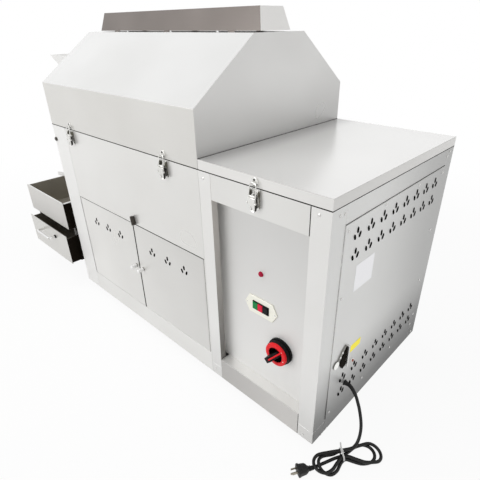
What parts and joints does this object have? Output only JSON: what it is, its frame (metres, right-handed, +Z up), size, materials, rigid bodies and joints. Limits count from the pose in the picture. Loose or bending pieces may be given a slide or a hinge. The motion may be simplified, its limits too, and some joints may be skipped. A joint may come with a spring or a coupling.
{
  "type": "drum roasting oven",
  "caption": "Stainless drum roasting oven on casters: hinged hood, gas burners behind doors, control bay, feed hopper, chute and collecting boxes.",
  "frame": {"origin": "centre of the machine's bounding box, without the cord, on the floor under the wheels", "axes": "+X along the cabinet's length towards the control bay, +Y from the front to the back, +Z up"},
  "size_m": [1.6586, 0.6799, 0.993],
  "materials": {
    "stainless": "brushed",
    "bright_steel": "polished",
    "inner_steel": "brushed",
    "dark_steel": "satin",
    "cast": "painted",
    "motor_paint": "satin",
    "gas_brass": "satin",
    "black_rubber": "matte",
    "cord_pvc": "satin",
    "black_plastic": "satin",
    "red_plastic": "gloss",
    "green_plastic": "gloss",
    "cream_plastic": "satin",
    "white_plastic": "gloss"
  },
  "bodies": {
    "cabinet": {"frame": "stainless", "base_pan": "inner_steel", "front_panel": "stainless", "back_panel": "stainless", "left_end_panel": "stainless", "bulkhead": "inner_steel", "control_panel": "stainless", "apron": "stainless", "side_panel": "stainless", "heat_shroud": "inner_steel", "gas_line": "gas_brass", "gas_inlet": "dark_steel", "shaft_bearings": "cast", "gear_motor": "motor_paint", "drive_belt": "black_rubber", "pilot_lamp": "red_plastic", "switch_plate": "cream_plastic", "switch_body": "black_plastic", "isolator_base": "black_plastic", "cord_gland": "black_plastic", "power_cord": "cord_pvc", "cord_hank": "cord_pvc", "plug": "black_plastic", "latch_bases": "bright_steel", "hinge_leaves": "bright_steel", "door_pins": "bright_steel", "door_catch": "dark_steel", "discharge_chute": "stainless", "collector_rack": "dark_steel", "caster_mounts": "bright_steel"},
    "hood": {"hood_shell": "stainless", "vent_cap": "stainless", "feed_hopper": "stainless", "hood_fittings": "bright_steel"},
    "top_lid": {"top_lid": "stainless", "lid_fittings": "bright_steel"},
    "door_left": {"door_left": "stainless"},
    "door_right": {"door_right": "stainless"},
    "latch_lever_1": {"latch_lever_1": "bright_steel"},
    "latch_bail_1": {"latch_bail_1": "bright_steel"},
    "latch_lever_2": {"latch_lever_2": "bright_steel"},
    "latch_bail_2": {"latch_bail_2": "bright_steel"},
    "latch_lever_3": {"latch_lever_3": "bright_steel"},
    "latch_bail_3": {"latch_bail_3": "bright_steel"},
    "isolator": {"isolator_dial": "red_plastic"},
    "button_green": {"button_green": "green_plastic"},
    "button_red": {"button_red": "red_plastic"},
    "button_black": {"button_black": "black_plastic"},
    "gas_knob": {"gas_knob": "bright_steel"},
    "caster_fork_1": {"caster_fork_1": "bright_steel"},
    "caster_fork_2": {"caster_fork_2": "bright_steel"},
    "caster_wheel_1": {"caster_wheel_1": "black_rubber"},
    "caster_wheel_2": {"caster_wheel_2": "black_rubber"},
    "caster_wheel_3": {"caster_wheel_3": "black_rubber"},
    "caster_wheel_4": {"caster_wheel_4": "black_rubber"},
    "drum": {"drum": "inner_steel"},
    "motor_pulley": {"motor_pulley": "cast"},
    "bin": {"bin": "stainless"},
    "drawer": {"drawer": "stainless"}
  },
  "joints": [
    {"name": "hood_hinge", "type": "hinge", "parent": "cabinet", "child": "hood", "pos_m": [-0.015, 0.3275, 0.66], "axis": [-1, 0, 0], "range_deg": [0, 80]},
    {"name": "lid_hinge", "type": "hinge", "parent": "cabinet", "child": "top_lid", "pos_m": [0.555, 0.3275, 0.66], "axis": [-1, 0, 0], "range_deg": [0, 85]},
    {"name": "door_left_hinge", "type": "hinge", "parent": "cabinet", "child": "door_left", "pos_m": [-0.3018, -0.2603, 0.257], "axis": [0, 0, -1], "range_deg": [0, 90]},
    {"name": "door_right_hinge", "type": "hinge", "parent": "cabinet", "child": "door_right", "pos_m": [0.3618, -0.2603, 0.257], "axis": [0, 0, 1], "range_deg": [0, 90]},
    {"name": "latch_lever_1_turn", "type": "hinge", "parent": "cabinet", "child": "latch_lever_1", "pos_m": [-0.262, -0.2715, 0.64], "axis": [-1, 0, 0], "range_deg": [0, 100]},
    {"name": "latch_bail_1_turn", "type": "hinge", "parent": "latch_lever_1", "child": "latch_bail_1", "pos_m": [-0.262, -0.2765, 0.63], "axis": [-1, 0, 0], "range_deg": [-100, 0]},
    {"name": "latch_lever_2_turn", "type": "hinge", "parent": "cabinet", "child": "latch_lever_2", "pos_m": [0.24, -0.2715, 0.64], "axis": [-1, 0, 0], "range_deg": [0, 100]},
    {"name": "latch_bail_2_turn", "type": "hinge", "parent": "latch_lever_2", "child": "latch_bail_2", "pos_m": [0.24, -0.2765, 0.63], "axis": [-1, 0, 0], "range_deg": [-100, 0]},
    {"name": "latch_lever_3_turn", "type": "hinge", "parent": "cabinet", "child": "latch_lever_3", "pos_m": [0.552, -0.2715, 0.64], "axis": [-1, 0, 0], "range_deg": [0, 100]},
    {"name": "latch_bail_3_turn", "type": "hinge", "parent": "latch_lever_3", "child": "latch_bail_3", "pos_m": [0.552, -0.2765, 0.63], "axis": [-1, 0, 0], "range_deg": [-100, 0]},
    {"name": "isolator_turn", "type": "hinge", "parent": "cabinet", "child": "isolator", "pos_m": [0.607, -0.2545, 0.233], "axis": [0, -1, 0], "range_deg": [0, 90]},
    {"name": "button_green_press", "type": "slide", "parent": "cabinet", "child": "button_green", "axis": [0, 1, 0], "range_m": [0, 0.003], "stiffness_N_per_m": 300, "springref_m": -0.001},
    {"name": "button_red_press", "type": "slide", "parent": "cabinet", "child": "button_red", "axis": [0, 1, 0], "range_m": [0, 0.003], "stiffness_N_per_m": 300, "springref_m": -0.001},
    {"name": "button_black_press", "type": "slide", "parent": "cabinet", "child": "button_black", "axis": [0, 1, 0], "range_m": [0, 0.003], "stiffness_N_per_m": 300, "springref_m": -0.001},
    {"name": "gas_knob_turn", "type": "hinge", "parent": "cabinet", "child": "gas_knob", "pos_m": [0.759, -0.1945, 0.243], "axis": [1, 0, 0], "range_deg": [0, 90]},
    {"name": "caster_swivel_1", "type": "hinge", "parent": "cabinet", "child": "caster_fork_1", "pos_m": [-0.246, -0.2145, 0.057], "axis": [0, 0, 1], "continuous": true},
    {"name": "caster_wheel_1_spin", "type": "hinge", "parent": "caster_fork_1", "child": "caster_wheel_1", "pos_m": [-0.23489, -0.22601, 0.025], "axis": [-0.7193, -0.6947, 0], "continuous": true},
    {"name": "caster_swivel_2", "type": "hinge", "parent": "cabinet", "child": "caster_fork_2", "pos_m": [0.689, -0.2145, 0.057], "axis": [0, 0, 1], "continuous": true},
    {"name": "caster_wheel_2_spin", "type": "hinge", "parent": "caster_fork_2", "child": "caster_wheel_2", "pos_m": [0.6773, -0.22541, 0.025], "axis": [-0.682, 0.7314, 0], "continuous": true},
    {"name": "caster_wheel_3_spin", "type": "hinge", "parent": "cabinet", "child": "caster_wheel_3", "pos_m": [-0.262, 0.2205, 0.025], "axis": [0, 1, 0], "continuous": true},
    {"name": "caster_wheel_4_spin", "type": "hinge", "parent": "cabinet", "child": "caster_wheel_4", "pos_m": [0.673, 0.2205, 0.025], "axis": [0, 1, 0], "continuous": true},
    {"name": "drum_spin", "type": "hinge", "parent": "cabinet", "child": "drum", "pos_m": [-0.001, 0.028, 0.624], "axis": [1, 0, 0], "continuous": true},
    {"name": "motor_pulley_spin", "type": "hinge", "parent": "cabinet", "child": "motor_pulley", "pos_m": [0.469, 0.028, 0.19], "axis": [1, 0, 0], "continuous": true},
    {"name": "bin_slide", "type": "slide", "parent": "cabinet", "child": "bin", "axis": [0, -1, 0], "range_m": [-0.018, 0.3]},
    {"name": "drawer_slide", "type": "slide", "parent": "cabinet", "child": "drawer", "axis": [0, -1, 0], "range_m": [-0.036, 0.3]}
  ],
  "couplings": [
    {"joint": "latch_bail_1_turn", "follows": "latch_lever_1_turn", "ratio": -1},
    {"joint": "latch_bail_2_turn", "follows": "latch_lever_2_turn", "ratio": -1},
    {"joint": "latch_bail_3_turn", "follows": "latch_lever_3_turn", "ratio": -1},
    {"joint": "motor_pulley_spin", "follows": "drum_spin", "ratio": 1.1667}
  ]
}
